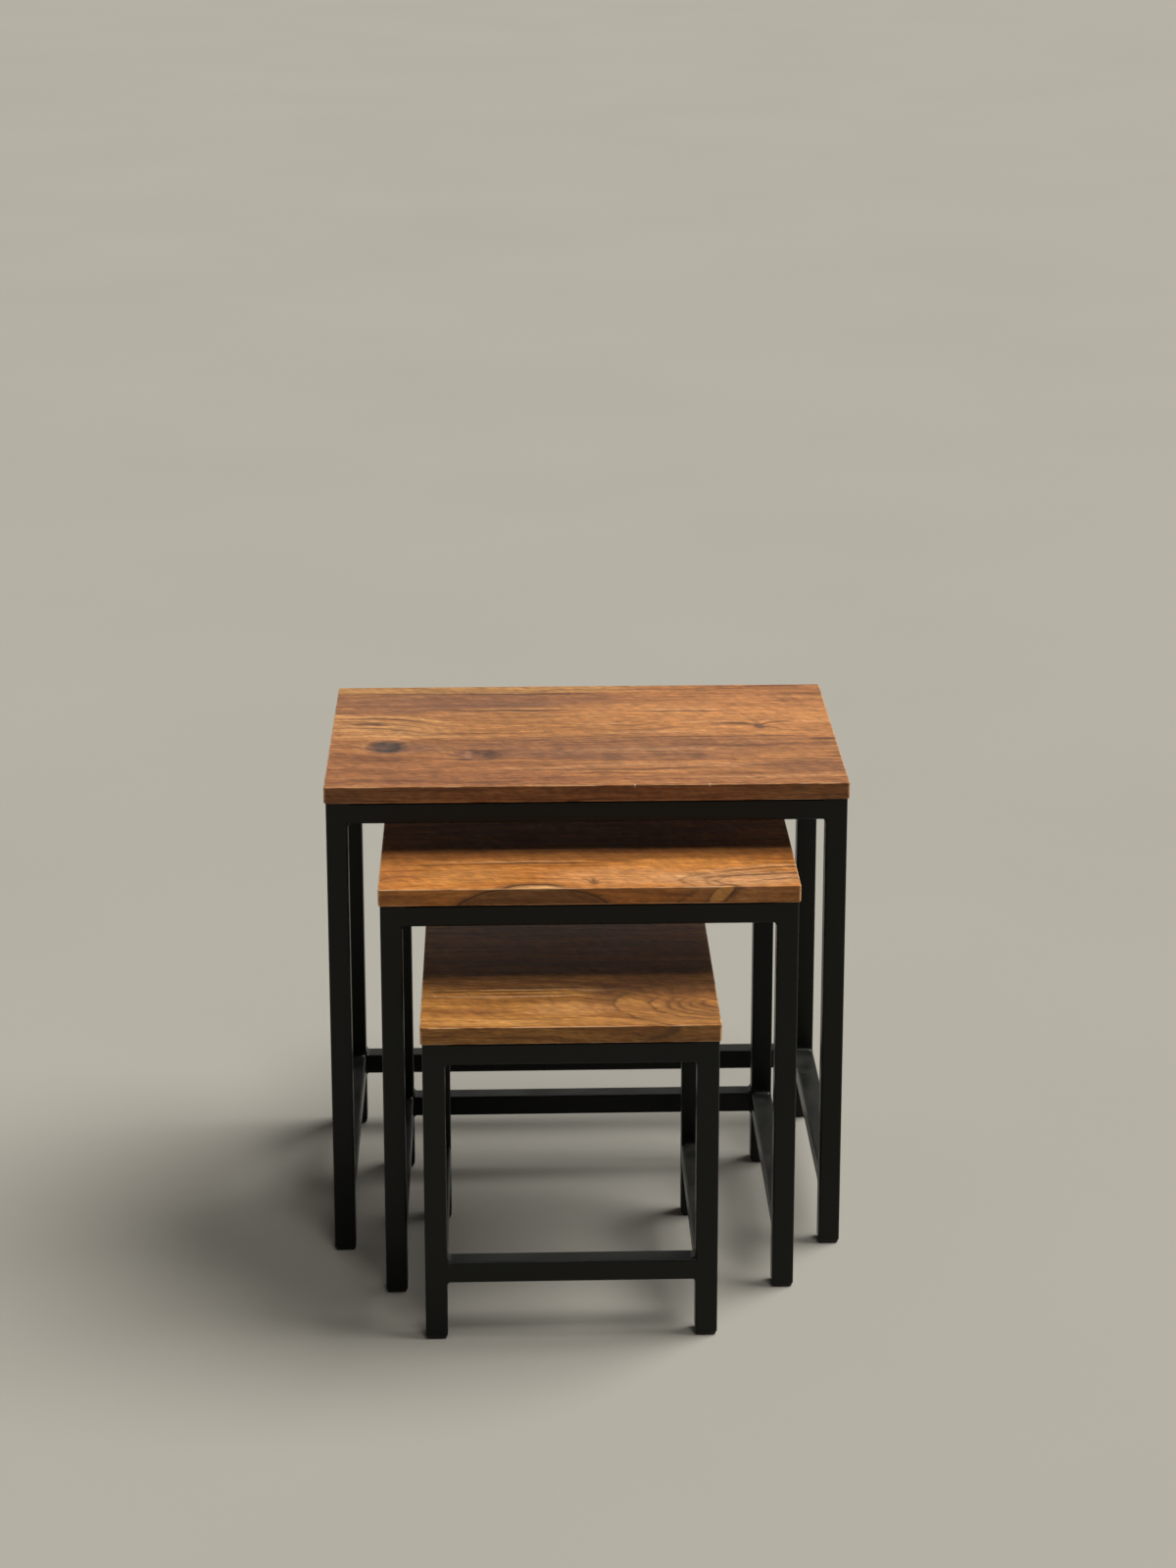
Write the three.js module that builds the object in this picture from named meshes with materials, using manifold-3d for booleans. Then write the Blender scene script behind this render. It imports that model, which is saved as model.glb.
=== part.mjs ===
// A nest of three side tables: a solid-wood top on a welded square-tube steel frame, three times over,
// each table sized to slide under the next larger one. Millimetres, +Z up, the open front faces -Y.
// The origin is on the floor, at the middle of the nest as it stands with the two smaller tables part out.
import * as THREE from "three";
import { mergeVertices } from "three/addons/utils/BufferGeometryUtils.js";
import Module from "manifold-3d";

const wasm = await Module();
wasm.setup();

// The three tables: outside width and depth of the wood, height above the floor, how far the table's
// middle stands from the middle of the next larger one, and the side that carries the low cross tube.
const TABLES = [
  { name: "large", width: 610, depth: 400, height: 585, shift: [0, 0], crossSide: "rear" },
  { name: "medium", width: 480, depth: 375, height: 500, shift: [0, -125], crossSide: "rear" },
  { name: "small", width: 335, depth: 340, height: 380, shift: [-24, -134], crossSide: "front" },
];

// Wood tops
const TOP_THICKNESS = 20;
const TOP_CORNER_RADIUS = 3;
const TOP_ARRIS = 1.2; // rounding of the edges
const TOP_OVERHANG = 2; // wood past the outside of the frame

// Steel frame
const TUBE = 25; // side of the square tube
const TUBE_WALL = 1.5;
const TUBE_BORE = TUBE - 2 * TUBE_WALL;
const TUBE_CORNER_RADIUS = 2.2;
const STRETCHER_HEIGHT = 70; // floor to the underside of the low tubes
const JOINT_GAP = 0.3; // clearance between pieces that touch

// Plastic feet, pushed into the open ends of the legs
const FOOT_HEIGHT = 5; // floor to the end of the leg
const FOOT_SIDE = 23;
const FOOT_CORNER_RADIUS = 3.5;
const FOOT_ROUNDING = 2.2; // of the edge on the floor
const PLUG_LENGTH = 18;
const PLUG_WALL = 2;

// Pan-head wood screws, up through the side rails into the wood
const SCREW_LENGTH = 16; // under the head
const SCREW_RADIUS = 2;
const SCREW_POINT = 3;
const HEAD_RADIUS = 4;
const HEAD_HEIGHT = 2.8;
const HEAD_EASING = 0.9;
const RECESS_DEPTH = 1.4;
const RECESS_LENGTH = 4.6;
const RECESS_WIDTH = 1.1;
const ACCESS_RADIUS = 6; // hole in the lower wall of the rail, for the screwdriver
const SCREW_SPACING = 0.5; // of the table's depth
const SCREW_SIDES = 10;

// Half the number of facets on each rounded corner
const CORNER_STEPS = 2;
const FOOT_CORNER_STEPS = 1;
const EDGE_STEPS = 2; // facets across a rounded edge

const SIDES = { left: -1, right: 1 };
const ENDS = { front: -1, rear: 1 };

// Looks of the four kinds of piece
const LOOKS = {
  wood: { color: 0x8f5a2e, roughness: 0.45, metalness: 0 },
  steel: { color: 0x17181a, roughness: 0.5, metalness: 0.1 },
  plastic: { color: 0x101011, roughness: 0.65, metalness: 0 },
  screw: { color: 0xb8b29a, roughness: 0.35, metalness: 1 },
};

// A three.js geometry as a solid that can be cut and joined.
function toSolid(geometry) {
  const bare = geometry.clone();
  bare.deleteAttribute("normal");
  bare.deleteAttribute("uv");
  const merged = mergeVertices(bare);
  const mesh = new wasm.Mesh({
    numProp: 3,
    vertProperties: merged.attributes.position.array,
    triVerts: new Uint32Array(merged.index.array),
  });
  return new wasm.Manifold(mesh);
}

function toGeometry(solid) {
  const { vertProperties, triVerts } = solid.getMesh();
  const geometry = new THREE.BufferGeometry();
  geometry.setAttribute("position", new THREE.BufferAttribute(vertProperties, 3));
  geometry.setIndex(new THREE.BufferAttribute(triVerts, 1));
  return geometry;
}

function cutAway(geometry, cutters) {
  let solid = toSolid(geometry);
  for (const cutter of cutters) {
    solid = solid.subtract(toSolid(cutter));
  }
  return toGeometry(solid);
}

// A rectangle with round corners, about the origin.
function traceRoundedRectangle(path, width, depth, radius) {
  const x = width / 2 - radius;
  const y = depth / 2 - radius;
  path.absarc(x, y, radius, 0, Math.PI / 2);
  path.absarc(-x, y, radius, Math.PI / 2, Math.PI);
  path.absarc(-x, -y, radius, Math.PI, 1.5 * Math.PI);
  path.absarc(x, -y, radius, 1.5 * Math.PI, 2 * Math.PI);
  path.closePath();
  return path;
}

function traceSquare(path, side) {
  const half = side / 2;
  path.moveTo(-half, -half);
  path.lineTo(half, -half);
  path.lineTo(half, half);
  path.lineTo(-half, half);
  path.closePath();
  return path;
}

// A block with round corners and rounded edges, standing on z = 0.
function roundedBlock(width, depth, height, radius, edge, cornerSteps) {
  const inset = 2 * edge;
  const outline = traceRoundedRectangle(new THREE.Shape(), width - inset, depth - inset, radius - edge);
  const block = new THREE.ExtrudeGeometry(outline, {
    depth: height - inset,
    steps: 1,
    curveSegments: cornerSteps,
    bevelEnabled: true,
    bevelThickness: edge,
    bevelSize: edge,
    bevelSegments: EDGE_STEPS,
  });
  return block.translate(0, 0, edge);
}

// A square tube with open ends, from z = 0 up.
function squareTube(length) {
  const section = traceRoundedRectangle(new THREE.Shape(), TUBE, TUBE, TUBE_CORNER_RADIUS);
  section.holes.push(traceSquare(new THREE.Path(), TUBE_BORE));
  return new THREE.ExtrudeGeometry(section, {
    depth: length,
    steps: 1,
    curveSegments: CORNER_STEPS,
    bevelEnabled: false,
  });
}

// An upright cylinder from z = bottom to z = top.
function upright(radius, bottom, top) {
  const cylinder = new THREE.CylinderGeometry(radius, radius, top - bottom, SCREW_SIDES);
  cylinder.rotateX(Math.PI / 2);
  return cylinder.translate(0, 0, (bottom + top) / 2);
}

// Where the screws stand along a table's depth, measured from its middle.
function screwOffsets(table) {
  const reach = (SCREW_SPACING * table.depth) / 2;
  return { front: -reach, rear: reach };
}

// The wood top, its underside at z = 0, with a blind pilot hole over each screw.
function topGeometry(table) {
  const { width, depth } = table;
  const block = roundedBlock(width, depth, TOP_THICKNESS, TOP_CORNER_RADIUS, TOP_ARRIS, CORNER_STEPS);
  const railX = width / 2 - TOP_OVERHANG - TUBE / 2;
  const pilotDepth = SCREW_LENGTH - TUBE_WALL;
  const pilots = [];
  for (const side of Object.values(SIDES)) {
    for (const y of Object.values(screwOffsets(table))) {
      pilots.push(upright(SCREW_RADIUS + JOINT_GAP, -1, pilotDepth).translate(side * railX, y, 0));
    }
  }
  return cutAway(block, pilots);
}

// A side rail along Y, its middle at the origin, drilled for its two screws: a clearance hole in the
// upper wall and a wide access hole in the lower one.
function screwedRail(table, length) {
  const rail = squareTube(length).translate(0, 0, -length / 2).rotateX(Math.PI / 2);
  const holes = [];
  for (const y of Object.values(screwOffsets(table))) {
    holes.push(upright(SCREW_RADIUS + JOINT_GAP, 0, TUBE).translate(0, y, 0));
    holes.push(upright(ACCESS_RADIUS, -TUBE, 0).translate(0, y, 0));
  }
  return cutAway(rail, holes);
}

// A foot: a rounded pad under the end of the leg and a hollow plug inside it; z = 0 is the floor.
function footGeometry() {
  const plugSide = TUBE_BORE - 2 * JOINT_GAP;
  const coreSide = plugSide - 2 * PLUG_WALL;
  const padTop = FOOT_HEIGHT - JOINT_GAP;
  const plugMiddle = padTop + PLUG_LENGTH / 2;
  // The pad is the lower half of a block that is rounded at both ends.
  const fullBlock = roundedBlock(
    FOOT_SIDE, FOOT_SIDE, 2 * FOOT_HEIGHT, FOOT_CORNER_RADIUS, FOOT_ROUNDING, FOOT_CORNER_STEPS,
  );
  const upperHalf = new THREE.BoxGeometry(TUBE, TUBE, 2 * FOOT_HEIGHT);
  upperHalf.translate(0, 0, padTop + FOOT_HEIGHT);
  const pad = toSolid(fullBlock).subtract(toSolid(upperHalf));
  // The plug starts a little inside the pad, so that the two are one piece.
  const plug = new THREE.BoxGeometry(plugSide, plugSide, PLUG_LENGTH);
  plug.translate(0, 0, plugMiddle - JOINT_GAP);
  const core = new THREE.BoxGeometry(coreSide, coreSide, PLUG_LENGTH);
  core.translate(0, 0, plugMiddle + PLUG_WALL);
  return toGeometry(pad.add(toSolid(plug)).subtract(toSolid(core)));
}

// A screw standing on its point's far end: the head hangs below z = 0 and the shank runs up from it.
function screwGeometry() {
  const outline = [
    new THREE.Vector2(0, -HEAD_HEIGHT),
    new THREE.Vector2(HEAD_RADIUS - HEAD_EASING, -HEAD_HEIGHT),
    new THREE.Vector2(HEAD_RADIUS, HEAD_EASING - HEAD_HEIGHT),
    new THREE.Vector2(HEAD_RADIUS, 0),
    new THREE.Vector2(SCREW_RADIUS, 0),
    new THREE.Vector2(SCREW_RADIUS, SCREW_LENGTH - SCREW_POINT),
    new THREE.Vector2(0, SCREW_LENGTH),
  ];
  const blank = new THREE.LatheGeometry(outline, SCREW_SIDES).rotateX(Math.PI / 2);
  const slot = new THREE.BoxGeometry(RECESS_LENGTH, RECESS_WIDTH, 2 * RECESS_DEPTH);
  slot.translate(0, 0, -HEAD_HEIGHT);
  return cutAway(blank, [slot, slot.clone().rotateZ(Math.PI / 2)]);
}

function addPiece(group, name, look, geometry, x, y, z) {
  const mesh = new THREE.Mesh(geometry, new THREE.MeshStandardMaterial(LOOKS[look]));
  mesh.name = name;
  mesh.position.set(x, y, z);
  group.add(mesh);
  return mesh;
}

// A tube along X or Y between two legs, its middle at (x, y, z).
function addCrossTube(group, name, axis, length, x, y, z) {
  const tube = squareTube(length).translate(0, 0, -length / 2);
  tube.rotateX(Math.PI / 2);
  if (axis === "x") {
    tube.rotateZ(Math.PI / 2);
  }
  return addPiece(group, name, "steel", tube, x, y, z);
}

function buildTable(table) {
  const group = new THREE.Group();
  const prefix = table.name;
  const legX = table.width / 2 - TOP_OVERHANG - TUBE / 2;
  const legY = table.depth / 2 - TOP_OVERHANG - TUBE / 2;
  const frameTop = table.height - TOP_THICKNESS - JOINT_GAP;
  const railZ = frameTop - TUBE / 2;
  const stretcherZ = STRETCHER_HEIGHT + TUBE / 2;
  const lengthX = 2 * legX - TUBE - 2 * JOINT_GAP;
  const lengthY = 2 * legY - TUBE - 2 * JOINT_GAP;
  const screwSeat = frameTop - TUBE_WALL - JOINT_GAP;

  addPiece(group, `${prefix}_top`, "wood", topGeometry(table), 0, 0, table.height - TOP_THICKNESS);

  for (const [end, endSign] of Object.entries(ENDS)) {
    const y = endSign * legY;
    addCrossTube(group, `${prefix}_rail_${end}`, "x", lengthX, 0, y, railZ);
    for (const [side, sideSign] of Object.entries(SIDES)) {
      const x = sideSign * legX;
      const corner = `${end}_${side}`;
      const leg = squareTube(frameTop - FOOT_HEIGHT);
      addPiece(group, `${prefix}_leg_${corner}`, "steel", leg, x, y, FOOT_HEIGHT);
      addPiece(group, `${prefix}_foot_${corner}`, "plastic", footGeometry(), x, y, 0);
      const screwY = screwOffsets(table)[end];
      addPiece(group, `${prefix}_screw_${corner}`, "screw", screwGeometry(), x, screwY, screwSeat);
    }
  }

  for (const [side, sideSign] of Object.entries(SIDES)) {
    const x = sideSign * legX;
    addPiece(group, `${prefix}_rail_${side}`, "steel", screwedRail(table, lengthY), x, 0, railZ);
    addCrossTube(group, `${prefix}_stretcher_${side}`, "y", lengthY, x, 0, stretcherZ);
  }

  const crossY = ENDS[table.crossSide] * legY;
  addCrossTube(group, `${prefix}_stretcher_${table.crossSide}`, "x", lengthX, 0, crossY, stretcherZ);
  return group;
}

// Each table is shifted from the one before it; the whole nest is then centred on the origin.
const nest = new THREE.Group();
const middle = new THREE.Vector2();
let front = Infinity;
let rear = -Infinity;
for (const table of TABLES) {
  const [shiftX, shiftY] = table.shift;
  middle.add(new THREE.Vector2(shiftX, shiftY));
  const group = buildTable(table);
  group.position.set(middle.x, middle.y, 0);
  nest.add(group);
  front = Math.min(front, middle.y - table.depth / 2);
  rear = Math.max(rear, middle.y + table.depth / 2);
}
nest.position.y = -(front + rear) / 2;

const root = new THREE.Group();
root.add(nest);

export default root;
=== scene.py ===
"""Looks for a nest of three square-tube tables with solid wood tops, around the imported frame."""

import math
import random
from dataclasses import dataclass

import bmesh
import bpy
import numpy as np
from mathutils import Matrix, Vector


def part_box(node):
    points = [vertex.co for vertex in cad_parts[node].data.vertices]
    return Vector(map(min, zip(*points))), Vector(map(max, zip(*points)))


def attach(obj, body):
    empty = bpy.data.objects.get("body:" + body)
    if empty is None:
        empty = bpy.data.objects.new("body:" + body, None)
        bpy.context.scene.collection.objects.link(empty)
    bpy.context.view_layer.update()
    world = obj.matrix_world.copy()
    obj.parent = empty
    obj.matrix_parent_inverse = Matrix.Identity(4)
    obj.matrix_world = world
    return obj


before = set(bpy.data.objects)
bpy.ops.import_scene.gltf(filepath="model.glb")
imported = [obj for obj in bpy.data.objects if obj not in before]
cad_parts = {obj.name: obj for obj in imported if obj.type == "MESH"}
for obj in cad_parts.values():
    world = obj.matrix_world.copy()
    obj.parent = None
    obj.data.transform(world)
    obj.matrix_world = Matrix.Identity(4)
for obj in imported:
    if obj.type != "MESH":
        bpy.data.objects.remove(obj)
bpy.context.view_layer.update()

MM = 0.001

# Camera: where the photographer stood, in metres, and which way the lens points, in degrees.
CAMERA_PLACE = (-0.0938, -3.8093, 1.8224)
CAMERA_HEADING = -2.315
CAMERA_TILT = -15.04
CAMERA_ROLL = -0.187
CAMERA_LENS = 77.73
CAMERA_SENSOR = 36
CAMERA_SHIFT = (-0.0313, -0.125)
CAMERA_CLIP = 200

# Light: a broad key from the right, a small lamp in front, and a room that is dim but for the
# pale wall beyond the tables.
KEY_DIRECTION = (0.70, 0.16, 1.0)
KEY_STRENGTH = 3.15
KEY_SPREAD = 42
KEY_COLOUR = (1.0, 0.985, 0.95)
LAMP_DIRECTION = (0.14, -0.39, 1.0)
LAMP_STRENGTH = 0.66
LAMP_SPREAD = 15
LAMP_COLOUR = (1.0, 0.97, 0.92)
BACKDROP = (0.66, 0.65, 0.62)
ROOM_DIM = (0.020, 0.019, 0.017)
ROOM_WALL = (0.46, 0.45, 0.42)

# The wall grows as a direction turns back between these shares, and fades as it turns up.
WALL_BACK = (-0.35, 0.65)
WALL_UP = (0.85, 0.30)

FLOOR_COLOUR = (0.420, 0.402, 0.357)
FLOOR_CLOUD = 0.04
FLOOR_HALF = 60.0

TABLES = ("large", "medium", "small")
ENDS = ("front", "rear")
SIDES = ("left", "right")


# ---------------------------------------------------------------- shader arithmetic


class Value:
    """A socket of a node tree. Ordinary arithmetic on it makes Math nodes."""

    def __init__(self, tree, socket):
        self.tree = tree
        self.socket = socket

    def math(self, operation, *others, clamp=False):
        node = self.tree.nodes.new("ShaderNodeMath")
        node.operation = operation
        node.use_clamp = clamp
        for place, item in zip(node.inputs, (self, *others)):
            feed(self.tree, place, item)
        return Value(self.tree, node.outputs[0])

    def __add__(self, other):
        return self.math("ADD", other)

    def __sub__(self, other):
        return self.math("SUBTRACT", other)

    def __rsub__(self, other):
        return (self * -1) + other

    def __mul__(self, other):
        return self.math("MULTIPLY", other)

    def __truediv__(self, other):
        return self.math("DIVIDE", other)

    __radd__ = __add__
    __rmul__ = __mul__

    def clamp(self):
        return self.math("ADD", 0.0, clamp=True)


def feed(tree, place, item):
    if isinstance(item, Value):
        tree.links.new(item.socket, place)
    else:
        place.default_value = item


class Nodes:
    """A node tree under construction, with a method for each kind of node that is used."""

    def __init__(self, tree):
        self.tree = tree
        self.tree.nodes.clear()

    def scaled(self, vector, factor):
        node = self.tree.nodes.new("ShaderNodeVectorMath")
        node.operation = "SCALE"
        feed(self.tree, node.inputs[0], vector)
        feed(self.tree, node.inputs["Scale"], factor)
        return Value(self.tree, node.outputs[0])

    def split(self, vector):
        node = self.tree.nodes.new("ShaderNodeSeparateXYZ")
        feed(self.tree, node.inputs[0], vector)
        return [Value(self.tree, out) for out in node.outputs]

    def joined(self, x, y, z):
        node = self.tree.nodes.new("ShaderNodeCombineXYZ")
        for place, item in zip(node.inputs, (x, y, z)):
            feed(self.tree, place, item)
        return Value(self.tree, node.outputs[0])

    def noise(self, vector, detail=2.0, roughness=0.5):
        """Smooth noise about 0.5, one unit of the vector to a feature."""
        node = self.tree.nodes.new("ShaderNodeTexNoise")
        node.noise_dimensions = "3D"
        feed(self.tree, node.inputs["Vector"], vector)
        node.inputs["Scale"].default_value = 1.0
        node.inputs["Detail"].default_value = detail
        node.inputs["Roughness"].default_value = roughness
        return Value(self.tree, node.outputs[0])

    def distance(self, point, centre, radii):
        """How far the point is from the centre, in radii: 1 on the ellipsoid's skin."""
        local = self.tree.nodes.new("ShaderNodeVectorMath")
        local.operation = "MULTIPLY_ADD"
        feed(self.tree, local.inputs[0], point)
        local.inputs[1].default_value = [1 / radius for radius in radii]
        local.inputs[2].default_value = [-place / radius for place, radius in zip(centre, radii)]
        length = self.tree.nodes.new("ShaderNodeVectorMath")
        length.operation = "LENGTH"
        self.tree.links.new(local.outputs[0], length.inputs[0])
        return Value(self.tree, length.outputs["Value"])

    def step(self, value, low, high):
        """0 below low, 1 above high, smooth between. With low above high it falls instead."""
        node = self.tree.nodes.new("ShaderNodeMapRange")
        node.interpolation_type = "SMOOTHSTEP"
        ends = (low, high, 0.0, 1.0) if low < high else (high, low, 1.0, 0.0)
        feed(self.tree, node.inputs[0], value)
        for place, number in zip(list(node.inputs)[1:5], ends):
            place.default_value = number
        return Value(self.tree, node.outputs[0])

    def line(self, value, centre, width):
        """1 where the value is at the centre, falling to 0 a width away."""
        return self.step((value - centre).math("ABSOLUTE"), width, 0.0)

    def mix(self, share, first, second, how="MIX"):
        node = self.tree.nodes.new("ShaderNodeMix")
        node.data_type = "RGBA"
        node.blend_type = how
        feed(self.tree, node.inputs[0], share)
        for place, colour in zip(list(node.inputs)[6:8], (first, second)):
            feed(self.tree, place, colour if isinstance(colour, Value) else (*colour, 1.0))
        return Value(self.tree, node.outputs[2])

    def ramp(self, value, stops):
        node = self.tree.nodes.new("ShaderNodeValToRGB")
        elements = node.color_ramp.elements
        while len(elements) < len(stops):
            elements.new(0.5)
        for element, (place, colour) in zip(elements, stops):
            element.position = place
            element.color = (*colour, 1.0)
        feed(self.tree, node.inputs[0], value)
        return Value(self.tree, node.outputs[0])

    def shaded(self, colour, brightness):
        """The colour times a brightness field."""
        return self.mix(1.0, colour, self.joined(brightness, brightness, brightness), "MULTIPLY")

    def bump(self, height, distance, strength):
        """A bump whose height is in millimetres of the given distance."""
        node = self.tree.nodes.new("ShaderNodeBump")
        node.inputs["Strength"].default_value = strength
        node.inputs["Distance"].default_value = distance * MM
        feed(self.tree, node.inputs["Height"], height)
        return Value(self.tree, node.outputs[0])


# The largest part of a facet's normal, on a rounded edge and on a flat side.
ROUNDED = 0.93
FLAT = 0.995


class Shader(Nodes):
    """A material: its surface shader, and the point and facing of the surface in millimetres."""

    def __init__(self, name):
        self.material = bpy.data.materials.new(name)
        self.material.use_nodes = True
        super().__init__(self.material.node_tree)
        output = self.tree.nodes.new("ShaderNodeOutputMaterial")
        self.surface = self.tree.nodes.new("ShaderNodeBsdfPrincipled")
        self.tree.links.new(self.surface.outputs[0], output.inputs["Surface"])
        coordinates = self.tree.nodes.new("ShaderNodeTexCoord")
        geometry = self.tree.nodes.new("ShaderNodeNewGeometry")
        self.point = self.scaled(Value(self.tree, coordinates.outputs["Object"]), 1 / MM)
        self.x, self.y, self.z = self.split(self.point)
        self.facing = self.split(Value(self.tree, geometry.outputs["True Normal"]))

    def arris(self):
        """1 on the narrow facets that round an edge, 0 on the flat sides."""
        x, y, z = (part.math("ABSOLUTE") for part in self.facing)
        return self.step(x.math("MAXIMUM", y).math("MAXIMUM", z), FLAT, ROUNDED)

    def even_noise(self, size, **settings):
        """Noise with features of one size every way, in millimetres."""
        return self.noise(self.scaled(self.point, 1 / size), **settings)

    def finish(self, colour, roughness, normal, **fixed):
        feed(self.tree, self.surface.inputs["Base Color"], colour)
        feed(self.tree, self.surface.inputs["Roughness"], roughness)
        feed(self.tree, self.surface.inputs["Normal"], normal)
        for name, number in fixed.items():
            self.surface.inputs[name.replace("_", " ")].default_value = number
        return self.material


# ---------------------------------------------------------------- wood

GOLD = (0.56, 0.285, 0.088)
HONEY = (0.50, 0.215, 0.056)
RUSSET = (0.315, 0.112, 0.040)
CHESTNUT = (0.215, 0.080, 0.030)
PLUM = (0.200, 0.088, 0.050)
UMBER = (0.085, 0.036, 0.016)
OLIVE_BROWN = (0.125, 0.080, 0.040)
AMBER = (0.72, 0.360, 0.125)
PEACH = (0.82, 0.470, 0.240)
SUNNY = (0.74, 0.315, 0.098)
BLAZE = (0.92, 0.380, 0.090)
SOOT = (0.030, 0.021, 0.018)
SPECK_TONE = (0.90, 0.78, 0.60)


@dataclass
class Figure:
    """A local feature of a board: an ellipsoid round a centre, in millimetres, with Z measured up
    from the top face, and tipped about Y by its lean in degrees. It stains the wood inside it, draws
    growth lines at some shares of its radii, and bends the grain round it. Given a side, as a
    direction along X and Y, the growth lines fade out away from that side. Given an arc, its ends
    droop that far towards the front, the right end more than the left if there is a skew. It follows
    the waviness of the grain by so many millimetres."""

    centre: tuple
    radii: tuple
    stain: tuple = UMBER
    strength: float = 0.0
    soft: float = 0.5
    ragged: float = 0.6
    rings: tuple = ()
    ring_width: float = 0.03
    ring_depth: float = 0.4
    ring_tone: tuple = UMBER
    swirl: float = 0.10
    side: tuple = None
    bend: float = 0.0
    lean: float = 0.0
    arc: float = 0.0
    skew: float = 0.0
    follow: float = 0.0


@dataclass
class Board:
    """One top: its random start, its tones from dark to light, how far its grain wanders in
    millimetres, how strong its straight lines and its curl are, how much darker its front and rear
    faces are, how pale its corners are from rubbed wear and a painted highlight, and its figures."""

    seed: float
    tones: tuple
    wander: float
    lines: float
    curl: float
    front_rear_dark: float
    rub_and_highlight: float
    figures: tuple


ENDLESS = 1e5
STAIN_DEPTH = 34
STREAK_DEPTH = 7
STREAK_FOLLOW = 7
SPECK_RADII = (1.3, 2.4, 2.4)


def stain(x, y, length, width, colour, strength, soft=0.5, ragged=0.6):
    """A long soft patch of another tone on the top face."""
    return Figure((x, y, 0), (length, width, STAIN_DEPTH), colour, strength, soft, ragged)


def edge_speck(x, y, z):
    """A small pale speck on an edge."""
    return Figure((x, y, z), SPECK_RADII, SPECK_TONE, strength=0.8, soft=0.6, ragged=0.3)


def streak(x, y, length, width, strength=0.5, arc=0.0, tone=UMBER, skew=0.0):
    """A single thin line along the grain, dark unless told otherwise."""
    return Figure(
        (x, y, 0), (length, width, STREAK_DEPTH), tone, strength, soft=0.7, ragged=0.7,
        arc=arc, skew=skew, follow=STREAK_FOLLOW,
    )


# What each board shows, placed on its own top face. Later figures lie over earlier ones.

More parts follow.
